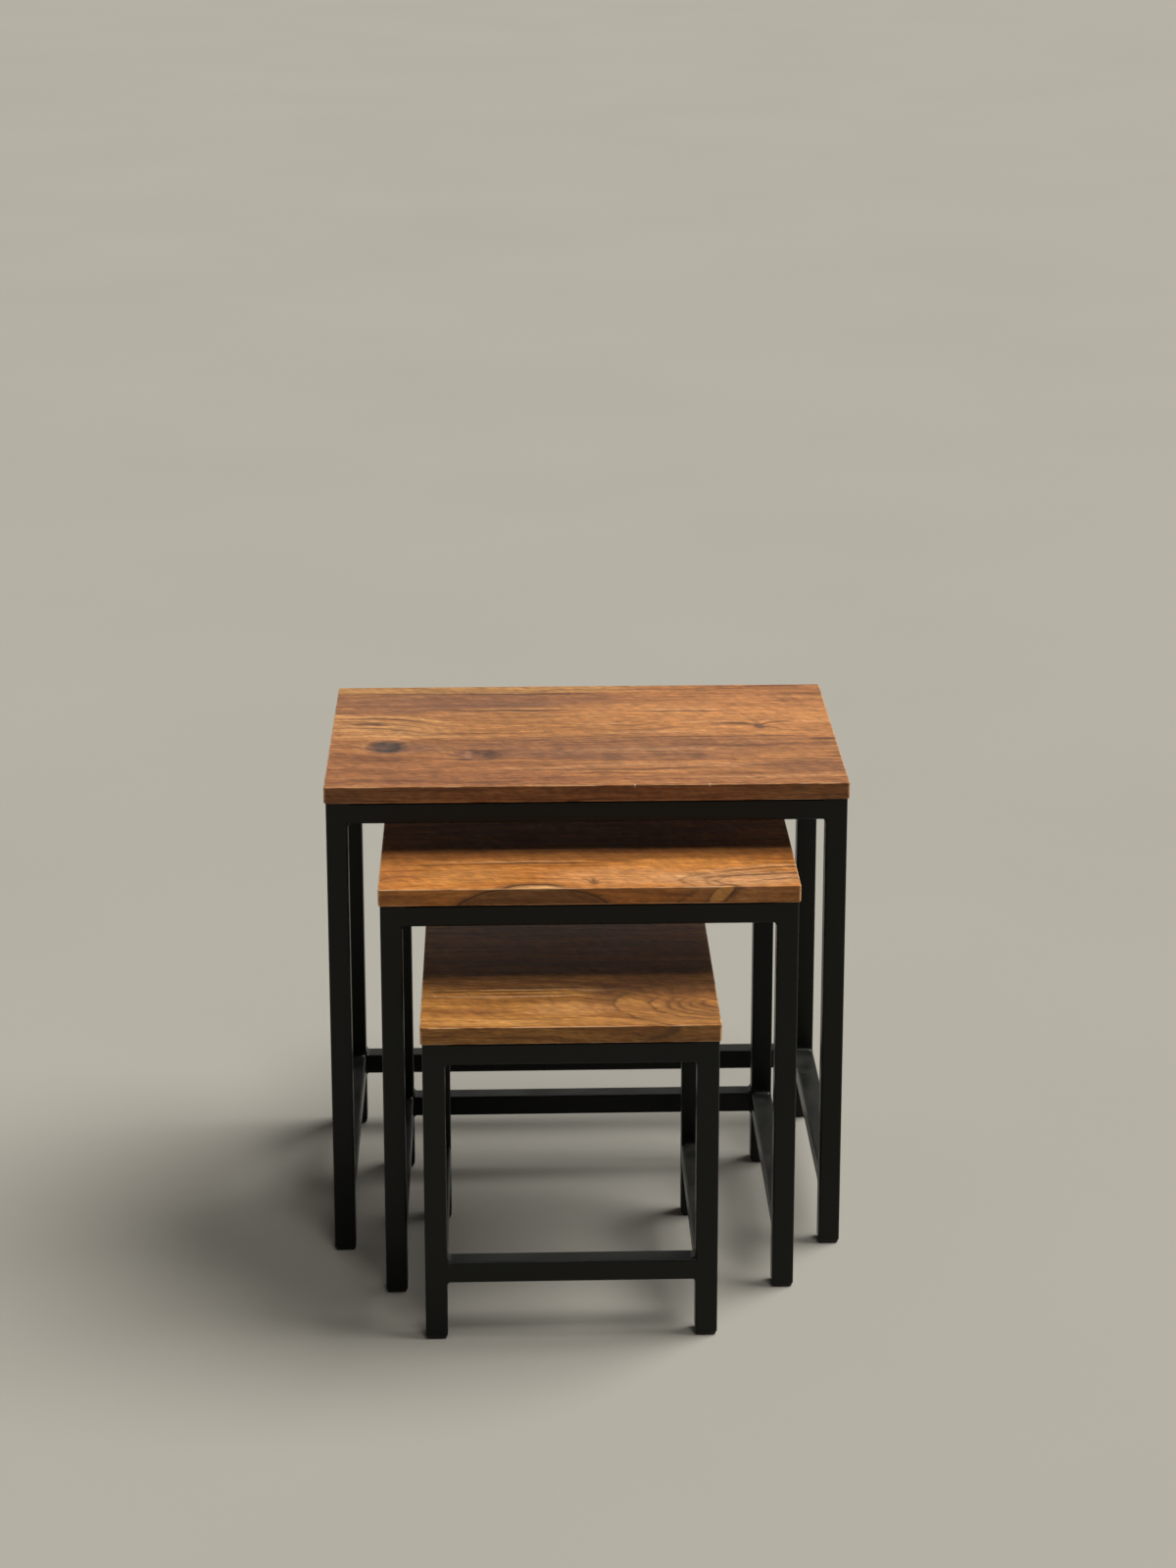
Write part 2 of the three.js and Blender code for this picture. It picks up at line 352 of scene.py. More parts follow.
LARGE = Board(
    seed=3.0,
    tones=(
        (0.270, 0.100, 0.032), (0.410, 0.160, 0.050), (0.530, 0.218, 0.068), (0.640, 0.282, 0.090),
    ),
    wander=26.0,
    lines=1.0,
    curl=0.90,
    front_rear_dark=0.44,
    rub_and_highlight=0.62,
    figures=(
        # The pale sapwood along the rear edge, and the dark band before it.
        stain(-165, 302, 235, 21, GOLD, 0.70, 0.35, 0.6),
        streak(-60, 281, 100, 3.0, 0.80),
        streak(-190, 284, 110, 2.2, 0.60),
        stain(-150, 248, 190, 38, PLUM, 0.58, 0.9, 1.0),
        stain(-110, 236, 90, 8, PLUM, 0.45, 0.8, 1.0),
        # The bright rear right, and the tones of the rest of the rear half.
        stain(180, 172, 215, 74, SUNNY, 0.66, 0.9, 0.9),
        stain(-246, 206, 62, 11, PLUM, 0.46, 0.8, 0.9),
        stain(60, -72, 270, 17, RUSSET, 0.34, 0.9, 0.9),
        stain(-40, 150, 170, 60, HONEY, 0.45, 0.9, 0.9),
        stain(-238, 140, 80, 34, AMBER, 0.45, 0.9, 0.8),
        # The swirl at the left, whose lines droop to the front at their right ends.
        streak(-292, 196, 30, 4.5, 0.60, 4, AMBER, 0.8),
        streak(-222, 190, 72, 4.5, 0.80, 14, AMBER, 0.6),
        streak(-232, 183, 66, 3.4, 0.60, 14, UMBER, 0.6),
        streak(-262, 176, 52, 3.8, 0.50, 9, AMBER, 0.6),
        streak(-250, 170, 60, 3.4, 0.42, 13, UMBER, 0.6),
        streak(-262, 159, 26, 6.5, 0.78, 5),
        streak(-250, 152, 66, 4.4, 0.66, 12, AMBER, 0.6),
        streak(-238, 143, 60, 3.2, 0.40, 13, UMBER, 0.6),
        streak(-242, 132, 64, 4.0, 0.50, 9, AMBER, 0.6),
        Figure((-262, 168, -5), (100, 52, 60), bend=-24),
        streak(-225, 109, 95, 5.0, 0.70, 4, AMBER),
        # Single lines, dark and pale, over the rear half and then the front half.
        streak(-130, 118, 60, 3.0, 0.40),
        streak(-70, 210, 60, 3.4, 0.70, -3),
        streak(-75, 217, 70, 3.0, 0.40, -3, AMBER),
        streak(120, 204, 55, 3.0, 0.70),
        streak(125, 210, 55, 4.0, 0.30, 3, PEACH),
        streak(20, 150, 46, 3.0, 0.24, -14, PEACH),
        streak(55, 145, 30, 3.4, 0.55, -9),
        streak(60, 128, 60, 3.0, 0.40, -5),
        streak(95, 117, 80, 4.0, 0.28, 4, PEACH),
        streak(150, 150, 34, 2.2, 0.45),
        streak(150, 157, 40, 3.0, 0.22, 0, PEACH),
        streak(285, 160, 40, 3.0, 0.24, 3, PEACH),
        streak(160, 98, 130, 3.0, 0.45, 4),
        streak(293, 86, 22, 3.4, 0.75),
        streak(-105, 205, 90, 3.0, 0.35, 20, AMBER),
        streak(-60, 185, 120, 3.0, 0.35, -8),
        streak(40, -28, 90, 4.0, 0.50, -6),
        streak(65, -9, 120, 4.5, 0.26, 10, PEACH),
        streak(190, -12, 30, 4.0, 0.24, -5, PEACH),
        streak(-60, -20, 50, 3.0, 0.22, 5, PEACH),
        streak(-225, -64, 30, 3.2, 0.60),
        streak(-112, -71, 26, 3.2, 0.55),
        streak(-262, -58, 16, 5.0, 0.50),
        streak(-230, 14, 30, 2.8, 0.60),
        streak(-190, -33, 90, 2.6, 0.45, 8),
        streak(200, -58, 100, 3.6, 0.20, -4, PEACH),
        # The plum band along the middle, and the russet front left.
        stain(50, 66, 240, 36, PLUM, 0.42, 0.9, 1.0),
        stain(-75, 36, 90, 16, PLUM, 0.42, 0.8, 1.0),
        stain(70, 22, 120, 18, PLUM, 0.46, 0.8, 1.0),
        streak(75, 50, 85, 4.4, 0.24, 2, PEACH),
        streak(85, 57, 80, 2.6, 0.16, 3, PEACH),
        stain(270, -20, 60, 24, PLUM, 0.42, 0.9, 1.0),
        stain(-195, -40, 160, 46, RUSSET, 0.50, 0.9, 1.0),
        # The first knot with its sooty eye, and the second, ringed one to its right.
        Figure((-212, 58, -5), (46, 18, 50), PLUM, 0.60, 0.9, 0.9),
        Figure(
            (-237, 68, -8), (20, 24, 26), (0.085, 0.060, 0.048), 0.78, 1.1, 0.9,
            rings=(0.80,), ring_width=0.22, ring_depth=0.60, ring_tone=SOOT, swirl=0.5,
            side=(0.8, -0.6), bend=16,
        ),
        Figure(
            (-237, 68, -8), (28, 31, 30), rings=(1.0,), ring_width=0.16, ring_depth=0.35,
            ring_tone=AMBER, swirl=0.4, side=(-0.4, 1.0),
        ),
        Figure(
            (-130, 32, -8), (27, 21, 24), (0.230, 0.092, 0.050), 0.55, 0.6, 0.8,
            rings=(1.0, 0.55), ring_width=0.15, ring_depth=0.66, swirl=0.55,
            side=(0.8, 0.5), bend=20,
        ),
        Figure((-139, 31, -5), (4.5, 13, 20), PEACH, 0.26, 1.2, 0.9),
        Figure((-113, 36, -5), (8, 17, 20), UMBER, 0.66, 1.1, 0.9),
        Figure((-228, 58, -8), (8, 14, 26), SOOT, 0.45, 1.1, 0.9),
        Figure((-247, 78, -8), (10, 6, 26), SOOT, 0.40, 1.1, 0.9),
        Figure((-142, 16, -5), (10, 5, 20), UMBER, 0.66, 1.1, 0.9),
        Figure((33, 20, -5), (12, 17, 20), UMBER, 0.34, 1.1, 0.9),
        Figure((131, 22, -5), (17, 9, 20), UMBER, 0.40, 1.1, 0.9),
        # The small star knot, with lines that run out from it.
        Figure((216, 139, -5), (7, 13, 20), PLUM, 0.80, 0.9, 0.8, bend=14),
        streak(201, 152, 22, 3.6, 0.62, 8, UMBER, 0.6),
        streak(234, 157, 24, 3.2, 0.60, 8, UMBER, -0.6),
        streak(230, 134, 16, 3.0, 0.55, 7, UMBER, 0.4),
        streak(184, 149, 26, 4.6, 0.50, 2),
        streak(214, 162, 12, 3.0, 0.40, -5),
        edge_speck(55, -85.5, -0.5),
        edge_speck(142, -85.5, -0.5),
    ),
)

MEDIUM = Board(
    seed=11.0,
    tones=((0.42, 0.142, 0.028), (0.57, 0.205, 0.042), (0.68, 0.258, 0.054), (0.79, 0.330, 0.082)),
    wander=16.0,
    lines=0.55,
    curl=0.90,
    front_rear_dark=0.31,
    rub_and_highlight=0.80,
    figures=(
        # The painted shadow of the large top along the rear, and the lines there.
        # Painted shadow: a dark band across the top where the large top's shadow edge falls.
        stain(-60, -82, 320, 18, RUSSET, 0.42, 0.9, 0.9),
        streak(-68, -112, 75, 2.2, 0.75),
        streak(-180, -117, 34, 2.6, 0.65),
        streak(30, -106, 40, 2.6, 0.55, -5),
        streak(-95, -107, 90, 2.4, 0.50, 0, PEACH),
        # The pale and bright patches, and the duller left end.
        stain(-145, -152, 56, 24, GOLD, 0.35, 0.9, 0.9),
        stain(35, -160, 80, 30, PEACH, 0.28, 0.9, 0.9),
        stain(168, -170, 84, 27, PEACH, 0.52, 0.9, 0.6),
        stain(112, -120, 96, 15, BLAZE, 0.55, 0.9, 0.8),
        stain(-242, -142, 44, 46, RUSSET, 0.34, 0.9, 0.8),
        # Lines that curve round the leaning heartwood, and two at the left end.
        streak(250, -127, 126, 3.0, 0.45, 20, PEACH),
        streak(252, -133, 122, 2.6, 0.55, 24),
        streak(250, -155, 118, 3.2, 0.70, 12),
        streak(240, -172, 60, 2.2, 0.50, 12),
        streak(-216, -151, 36, 4.0, 0.42, 34, RUSSET),
        streak(-226, -160, 28, 3.4, 0.30, 26, RUSSET),
        Figure((5, -178, -3), (5, 9, 12), UMBER, 0.55, 1.1, 0.8, bend=12),
        # The olive arch on the front edge, with its pale crown, which is partly paler wood and partly
        # a painted highlight on the front corner.
        Figure(
            (-64, -200, -34), (93, 45, 36.3), OLIVE_BROWN, 0.58, 0.08, 0.05,
            rings=(1.0,), ring_width=0.032, ring_depth=0.85, swirl=0.04,
        ),
        # Partly a painted highlight: the pale crown sits on the rounded front corner.
        Figure((-58, -200, 1), (30, 11, 2.6), (0.92, 0.52, 0.22), 0.75, 0.8, 0.4),
        # The leaning heartwood at the right, and the bright knot on the edge.
        Figure(
            (272, -178, 0), (111, 44, ENDLESS), rings=(1.0, 0.83, 0.75), ring_width=0.034,
            ring_depth=0.42, swirl=0.16, side=(-1.0, 0.15), lean=48, bend=30,
        ),
        Figure(
            (149, -199, -9), (7, 6, 17), (1.0, 0.47, 0.12), 0.85, 0.30, 0.3,
            rings=(1.28,), ring_width=0.20, ring_depth=0.62, side=(1.0, 0.0), lean=48,
        ),
    ),
)

SMALL = Board(
    seed=23.0,
    tones=((0.27, 0.104, 0.022), (0.40, 0.162, 0.034), (0.52, 0.224, 0.048), (0.64, 0.300, 0.074)),
    wander=12.0,
    lines=0.55,
    curl=0.90,
    front_rear_dark=0.29,
    rub_and_highlight=0.70,
    figures=(
        # The painted shadow of the medium top along the rear, and the lines there.
        # Painted shadow: a dark band across the top where the medium top's shadow edge falls.
        stain(-40, -188, 230, 14, CHESTNUT, 0.40, 0.9, 0.9),
        streak(-95, -199, 90, 2.2, 0.6),
        streak(-110, -208, 75, 2.0, 0.6),
        streak(-60, -217, 60, 2.2, 0.5),
        streak(-95, -224, 90, 3.0, 0.36, -3, PEACH),
        streak(-55, -203, 60, 2.0, 0.40, 0, PEACH),
        streak(10, -207, 30, 3.0, 0.50, -5, PEACH),
        # The umber shadow left of the disc, and the amber front.
        stain(15, -226, 22, 20, UMBER, 0.50, 0.9, 0.6),
        stain(38, -208, 26, 14, UMBER, 0.45, 0.9, 0.6),
        stain(-20, -196, 110, 9, UMBER, 0.34, 0.9, 0.8),
        stain(-25, -262, 50, 20, AMBER, 0.45, 0.9, 0.9),
        stain(-60, -300, 140, 9, AMBER, 0.24, 0.9, 0.9),
        stain(-128, -268, 34, 14, RUSSET, 0.34, 0.9, 0.9),
        stain(-118, -272, 14, 3, UMBER, 0.45),
        streak(-70, -290, 60, 3.4, 0.30, -3),
        # The disc of leaning growth rings at the right, and the painted shade round it where the
        # medium top's shadow falls.
        Figure(
            (150, -251, 0), (54.4, 70, ENDLESS), (0.56, 0.262, 0.100), 0.26, 0.60, 0.30,
            rings=(0.99, 0.66, 0.51, 0.42, 0.31, 0.20), ring_width=0.032, ring_depth=0.62,
            ring_tone=(0.125, 0.052, 0.020), swirl=0.11, side=(-0.55, -1.0), lean=64, bend=60,
        ),
        # Painted shade: darker towards the rear right, into the medium top's shadow.
        stain(120, -222, 64, 18, RUSSET, 0.36, 1.0, 0.6),
        stain(96, -196, 84, 27, UMBER, 0.55, 1.0, 0.6),
        Figure(
            (150, -251, 0), (54.4, 70, ENDLESS), rings=(1.10, 1.21), ring_width=0.036,
            ring_depth=0.34, ring_tone=RUSSET, swirl=0.14, side=(-1.0, -0.2), lean=64,
        ),
        Figure((-100, -262, -5), (60, 26, 40), bend=12),
    ),
)

BOARDS = {"large": LARGE, "medium": MEDIUM, "small": SMALL}


@dataclass
class Layer:
    """Noise of one scale in the wood: the size of its features along the grain, across it and in
    depth, in millimetres, how busy it is, the levels at which its marks start and are full, and how
    strong they are."""

    length: float
    width: float
    depth: float
    detail: float = 2.0
    roughness: float = 0.5
    start: float = 0.0
    full: float = 1.0
    strength: float = 1.0


# The course of the grain: its slow wander, its short waviness, and how fast a knot's bend fades.
WANDER = Layer(240, 75, 60)
RIPPLE = Layer(42, 38, 40, strength=11.0)
BEND_FALL = 0.8

# The growth rings cross the board's thickness at a slant that turns over from front to rear, so
# that they show on the ends as arcs. The turn starts this far behind the front edge.
RING_SLANT = 1.9
RING_SWING = 3.1
RING_TURN = 40

# Broad tone, with the level of each of a board's four tones, and the unrest of a figure's outline.
TONE = Layer(170, 11, 60, 4.0, 0.65)
TONE_LEVELS = (0.32, 0.45, 0.56, 0.68)
RAGGED = Layer(45, 6, 30, 3.0, 0.65)
SWIRL = Layer(30, 16, 16)

# A figure's rings: where they fade out beside its centre, and the haze outside each one.
RING_FADE = (-0.55, 0.35)
HAZE_START = 0.98
HAZE_WIDTH = 4.5
HAZE_SHARE = 0.5

# Bands of late wood, redder and darker, and streaks that are paler or duller than the rest.
BAND = Layer(75, 4.4, 25, 4.0, 0.68, 0.40, 0.62, 0.42)
LATE_WOOD = (0.50, 0.42, 0.40)
PALE = Layer(44, 4.6, 25, 3.0, 0.65, 0.54, 0.66, 0.24)
DULL = Layer(34, 4.8, 25, 3.0, 0.65, 0.55, 0.66, 0.20)
DULL_OFFSET = 900

# Growth lines: thin dark contours of a slow field, strong in some places and faint in others.
CONTOUR = Layer(260, 8.5, 60, 3.0, 0.55)
CONTOUR_STEP = 0.07
CONTOUR_WIDTH = 0.016
CONTOUR_FAINT = 0.10
PATCH = Layer(110, 24, 60, 1.0, 0.5, 0.42, 0.60, 0.34)
DASH = Layer(24, 2.6, 20, 2.0, 0.6, 0.60, 0.70, 0.34)

# Fibres, wool, curl and pores. The sawn ends show less of them than the faces do.
FIBRE = Layer(40, 1.3, 9, 3.0, 0.7, strength=1.05)
WOOL = Layer(13, 4.0, 9, 2.0, 0.6)
CURL = Layer(12, 24, 24, 3.0, 0.6)
CURL_SLANT = 0.5
PORE = Layer(8.0, 0.55, 1.2, 1.0, 0.5, 0.64, 0.74, 0.38)
END_CALM = 0.60

# A face counts as an end, a front or rear face or the underside once its normal is this near the
# axis. The ends are darker by their share, the underside by a painted shade, and the corners are
# paled in patches, partly by rubbed wear and partly by a painted highlight.
FACING = (0.7, 0.95)
END_DARK = 0.28
UNDERSIDE_PAINTED_SHADE = 0.72
RUB_AND_HIGHLIGHT = Layer(34, 12, 12, start=0.34, full=0.60)


class Wood(Shader):
    """One board's oiled hardwood, with its grain along X. It is a solid figure, so that the edges
    and ends match the face. sunk is a point's height from the top face, below nought inside the
    board. across is which line of the grain the point lies on, and ripple how wavy the line is."""

    def __init__(self, table):
        super().__init__(f"{table}_wood")
        self.board = BOARDS[table]
        low, high = (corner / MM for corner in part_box(f"{table}_top"))
        self.sunk = self.z - high.z
        slant = self.step(self.y, low.y + RING_TURN, high.y) * -RING_SWING + RING_SLANT
        wander = self.grain(WANDER, self.y) - 0.5
        across = self.y + wander * self.board.wander + self.sunk * slant + high.z * RING_SLANT
        self.ripple = self.cloud(RIPPLE, self.y) - 0.5
        for figure in self.board.figures:
            if figure.bend:
                near = self.reach(figure)
                across = across + (near * near * -BEND_FALL).math("EXPONENT") * figure.bend
        self.across = across + self.ripple * RIPPLE.strength

    def grain(self, layer, across=None, along=None):
        """A layer that follows the grain, unless it is given another place."""
        x = along or self.x
        y = across or self.across
        seed = self.board.seed
        vector = self.joined(x / layer.length + seed, y / layer.width, self.z / layer.depth + seed)
        return self.noise(vector, layer.detail, layer.roughness)

    def cloud(self, layer, across, along=None):
        """A layer that takes no notice of the grain."""
        x = along or self.x
        seed = self.board.seed
        vector = self.joined(x / layer.length + seed, across / layer.width, self.z / layer.depth)
        return self.noise(vector, layer.detail, layer.roughness)

    def marks(self, layer, across=None, along=None):
        """0 where the layer is low, 1 where it is high."""
        return self.step(self.grain(layer, across, along), layer.start, layer.full)

    def reach(self, figure):
        """How far the shaded point is from the figure's centre, in radii."""
        x, y, z = self.x, self.y, self.sunk
        centre = Vector(figure.centre)
        if figure.arc:
            along = (x - centre.x) / figure.radii[0] + figure.skew
            y = y + along * along * figure.arc
        if figure.follow:
            y = y + self.ripple * figure.follow
        if figure.lean:
            turn = math.radians(figure.lean)
            x, z = x * math.cos(turn) - z * math.sin(turn), x * math.sin(turn) + z * math.cos(turn)
            centre = Matrix.Rotation(-turn, 3, "Y") @ centre
        return self.distance(self.joined(x, y, z), centre, figure.radii)

    def figured(self, colour):
        """The colour with the stains and growth lines of the board's figures."""
        ragged = self.grain(RAGGED) - 0.5
        swirl = self.cloud(SWIRL, self.y) - 0.5
        for figure in self.board.figures:
            if not figure.strength and not figure.rings:
                continue
            near = self.reach(figure)
            if figure.strength:
                edge = near + ragged * figure.ragged
                inside = self.step(edge, 1.0 + figure.soft / 2, 1.0 - figure.soft / 2)
                colour = self.mix(inside * figure.strength, colour, figure.stain)
            if figure.rings:
                colour = self.ringed(colour, figure, near + swirl * figure.swirl)
        return colour

    def ringed(self, colour, figure, edge):
        """The colour with the figure's rings, edge being the wavering distance from its centre."""
        depth = figure.ring_depth
        if figure.side:
            level = math.cos(math.radians(figure.lean))
            right = (self.x - figure.centre[0]) * (figure.side[0] * level)
            back = (self.y - figure.centre[1]) * (figure.side[1] / figure.radii[1])
            depth = self.step(right / figure.radii[0] + back, *RING_FADE) * depth
        for ring in figure.rings:
            mark = self.line(edge, ring, figure.ring_width)
            outside = self.step(edge, ring * HAZE_START, ring)
            haze = self.step(edge, ring + figure.ring_width * HAZE_WIDTH, ring) * outside
            share = (mark + haze * HAZE_SHARE).clamp() * depth
            colour = self.mix(share, colour, figure.ring_tone)
        return colour

    def banded(self, colour):
        """The colour with its bands of late wood."""
        share = self.marks(BAND) * (BAND.strength * self.board.lines)
        return self.mix(share, colour, self.mix(1.0, colour, LATE_WOOD, "MULTIPLY"))


def swing(field, amount):
    """A brightness that swings about 1 as the field does about a half."""
    return (field - 0.5) * amount + 1.0


def wood(table):
    """The material of one board."""
    s = Wood(table)
    board = s.board
    colour = s.ramp(s.grain(TONE), tuple(zip(TONE_LEVELS, board.tones)))
    colour = s.banded(s.figured(colour))

    pale = s.marks(PALE)
    dull = s.marks(DULL, along=s.x - DULL_OFFSET)
    shade = 1.0 + pale * (PALE.strength * board.lines)
    shade = shade * (1.0 - dull * (DULL.strength * board.lines))

    contour = s.grain(CONTOUR)
    patch = s.marks(PATCH, s.y)
    thin = s.line(contour.math("PINGPONG", CONTOUR_STEP), 0.0, CONTOUR_WIDTH)
    shade = shade * (1.0 - thin * (CONTOUR_FAINT + patch * PATCH.strength) * board.lines)
    shade = shade * (1.0 - s.marks(DASH) * DASH.strength)

    end = s.step(s.facing[0].math("ABSOLUTE"), *FACING)
    calm = 1.0 - end * END_CALM
    fibre = s.grain(FIBRE)
    wool = s.grain(WOOL)
    curl = s.cloud(CURL, s.across, s.x + s.across * CURL_SLANT)
    pore = s.marks(PORE)
    shade = shade * swing(fibre, calm * FIBRE.strength) * swing(wool, calm)
    shade = shade * swing(curl, calm * board.curl) * (1.0 - pore * PORE.strength)

    edge = s.step(s.facing[1].math("ABSOLUTE"), *FACING)
    # Painted shade: the underside is darkened, since it lies in shade, so it sends less bounce light
    # down.
    under = s.step(s.facing[2] * -1, *FACING)
    shade = shade * (1.0 - end * END_DARK) * (1.0 - edge * board.front_rear_dark) * (1.0 - under * UNDERSIDE_PAINTED_SHADE)
    # Rubbed wear and painted highlight: the rounded corners are paled towards peach in patches.
    rubbed_and_highlight = s.arris() * s.marks(RUB_AND_HIGHLIGHT, s.y)
    colour = s.mix(rubbed_and_highlight * board.rub_and_highlight, s.shaded(colour, shade), PEACH)

    roughness = 0.37 + fibre * 0.18 + pore * 0.18 + rubbed_and_highlight * 0.06 + end * 0.10
    height = fibre * 0.40 - pore * 0.65 - thin * 0.25 + wool * 0.20
    normal = s.bump(height, distance=0.24, strength=0.60)
    return s.finish(colour, roughness, normal, Specular_IOR_Level=0.32)


# ---------------------------------------------------------------- paint, plastic and steel

PAINT_DEEP = (0.0045, 0.0055, 0.0042)
PAINT_PALE = (0.0085, 0.0092, 0.0072)
PAINT_WORN = (0.050, 0.050, 0.046)
PAINT_SPECK = (0.06, 0.06, 0.055)
DUST_AND_SHEEN = (0.20, 0.19, 0.17)
PAD_DEEP = (0.012, 0.012, 0.012)
PAD_PALE = (0.022, 0.022, 0.021)
PAD_SCUFF = (0.15, 0.14, 0.125)
ZINC_DARK = (0.42, 0.42, 0.40)
ZINC_PALE = (0.62, 0.61, 0.57)
TARNISH = (0.20, 0.17, 0.13)


def frame_paint():
    """Satin black powder coat: fine orange peel, thin dust and a painted sheen on top faces, rubbed
    edges.
    """
    s = Shader("frame_paint")
    peel = s.even_noise(1.6)
    cloud = s.even_noise(70, detail=3.0)
    fleck = s.even_noise(0.9, roughness=0.7)
    smear = s.noise(s.joined(s.x / 60, s.y / 60, s.z / 14), detail=3.0, roughness=0.6)
    colour = s.mix(cloud, PAINT_DEEP, PAINT_PALE)
    # Dust and painted sheen: the top faces are paler, partly as dust and partly for the light they
    # catch.
    upward = s.step(s.facing[2], 0.55, 0.95)
    dust_and_sheen = upward * s.step(smear, 0.35, 0.75) * (0.25 + fleck)
    colour = s.mix(dust_and_sheen * 0.10, colour, DUST_AND_SHEEN)
    worn = s.arris() * s.step(smear, 0.52, 0.70) * s.step(fleck, 0.40, 0.60)
    colour = s.mix(worn * 0.55, colour, PAINT_WORN)
    speck = s.step(fleck, 0.70, 0.80)
    colour = s.mix(speck * 0.20, colour, PAINT_SPECK)
    roughness = 0.24 + cloud * 0.10 + dust_and_sheen * 0.30 + worn * 0.08 + smear * 0.06
    normal = s.bump(peel + cloud * 0.4, distance=0.05, strength=0.30)
    return s.finish(colour, roughness, normal, Specular_IOR_Level=0.20)


def foot_plastic():
    """Moulded black pads: fine spark texture, scuffed and dusty low down."""
    s = Shader("foot_plastic")
    spark = s.even_noise(0.5, detail=3.0, roughness=0.7)
    cloud = s.even_noise(9, detail=3.0)
    low_down = s.step(s.z + cloud * 2.5, 3.4, 1.0)
    colour = s.mix(cloud, PAD_DEEP, PAD_PALE)
    scuff = s.step(spark, 0.55, 0.75) * low_down
    colour = s.mix(scuff * 0.45 + low_down * 0.12, colour, PAD_SCUFF)
    roughness = 0.52 + spark * 0.22 + low_down * 0.10
    normal = s.bump(spark, distance=0.05, strength=0.5)
    return s.finish(colour, roughness, normal, Specular_IOR_Level=0.40)


def screw_steel():
    """Zinc-plated screws: a clouded plating with fine turned marks and a little tarnish."""
    s = Shader("screw_steel")
    cloud = s.even_noise(3.5, detail=3.0)
    fine = s.even_noise(0.35, roughness=0.7)
    colour = s.mix(cloud, ZINC_DARK, ZINC_PALE)
    tarnish = s.step(cloud + fine * 0.3, 0.66, 0.86)
    colour = s.mix(tarnish * 0.6, colour, TARNISH)
    roughness = 0.26 + fine * 0.20 + tarnish * 0.25
    normal = s.bump(fine, distance=0.03, strength=0.4)
    return s.finish(colour, roughness, normal, Metallic=1.0)


def floor_paint():
    """A plain pale floor with the faintest cloudiness."""
    s = Shader("studio_floor")
    cloud = s.even_noise(900, detail=4.0)
    deep, pale = (
        tuple(part * level for part in FLOOR_COLOUR) for level in (1 - FLOOR_CLOUD, 1 + FLOOR_CLOUD)
    )
    colour = s.mix(cloud, deep, pale)
    normal = s.bump(cloud, distance=0.4, strength=0.1)
    return s.finish(colour, 0.72 + cloud * 0.05, normal, Specular_IOR_Level=0.2)


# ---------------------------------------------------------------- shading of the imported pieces


SAME_PLACE = 0.02 * MM
SOFT_ANGLE = 40


def soften(obj):
    """Gives smooth normals across edges blunter than the soft angle, weighted by face area, so that
    rounded corners look round and flat sides stay flat. No point of the mesh moves."""
    mesh = obj.data
    faces = len(mesh.polygons)
    loops = len(mesh.loops)
    points = np.empty(len(mesh.vertices) * 3, np.float32)
    mesh.vertices.foreach_get("co", points)
    keys = np.round(points.reshape(-1, 3) / SAME_PLACE).astype(np.int64)
    _, place = np.unique(keys, axis=0, return_inverse=True)
    corner = np.empty(loops, np.int64)
    mesh.loops.foreach_get("vertex_index", corner)
    corner = place.ravel()[corner]
    normals = np.empty(faces * 3)
    mesh.polygons.foreach_get("normal", normals)
    normals = normals.reshape(-1, 3)
    area = np.empty(faces)
    mesh.polygons.foreach_get("area", area)
    owner = np.empty(loops, np.int64)
    for face in mesh.polygons:
        owner[face.loop_start:face.loop_start + face.loop_total] = face.index
    order = np.argsort(corner, kind="stable")
    starts = np.flatnonzero(np.r_[True, np.diff(corner[order]) > 0, True])
    result = np.empty((loops, 3))
    limit = math.cos(math.radians(SOFT_ANGLE))
    for first, last in zip(starts[:-1], starts[1:]):
        group = order[first:last]
        near = normals[owner[group]]
        alike = (near @ near.T) > limit
        total = alike @ (near * area[owner[group], None])
        result[group] = total / np.linalg.norm(total, axis=1, keepdims=True)
    mesh.shade_smooth()
    mesh.normals_split_custom_set(result.tolist())


def dress(obj, material):
    """Gives the object that one material."""
    obj.data.materials.clear()
    obj.data.materials.append(material)


# ---------------------------------------------------------------- welds

TUBE_ROUNDING = 2.2 * MM
WELD_SHARP = 50

# The smoothed fillets: their leg length and sink into the corner, how they waver, and how they
# taper off at their ends.
BEAD_LEG = 6.2 * MM
BEAD_SINK = 0.3 * MM
BEAD_WAVE = 0.06
BEAD_RIPPLES = 9
BEAD_JITTER = 0.015
BEAD_LEAN = 0.08
BEAD_END = 0.45
BEAD_TAPER = 5.0
BEAD_INSET = 0.6 * TUBE_ROUNDING
BEAD_STATIONS = 30
BEAD_ARC = 6

# The ground-off seams: a low crown above the faces, and a root below them.
STRIP_HALF = 3.4 * MM
STRIP_PROUD = 0.13 * MM
STRIP_WIDTHS = (0.88, 1.12)
STRIP_HEIGHTS = (0.8, 1.1)
STRIP_CROWN = ((-1.0, -0.5), (-0.55, 0.55), (0.0, 1.0), (0.55, 0.55), (1.0, -0.5))
STRIP_ROOT = 0.3
STRIP_DEPTH = 2.4 * MM
STRIP_INSET = 0.5 * TUBE_ROUNDING
STRIP_UNDER_TOP = 0.1 * MM
STRIP_STATIONS = 8
SEAM_GAP = 0.15 * MM


def sweep(mesh, rings):
    """A closed skin through a row of like point loops."""
    rows = [[mesh.verts.new(point) for point in ring] for ring in rings]
    count = len(rows[0])
    for before, after in zip(rows, rows[1:]):
        for i in range(count):
            j = (i + 1) % count
            mesh.faces.new((before[i], before[j], after[j], after[i]))
    mesh.faces.new(list(reversed(rows[0])))
    mesh.faces.new(rows[-1])


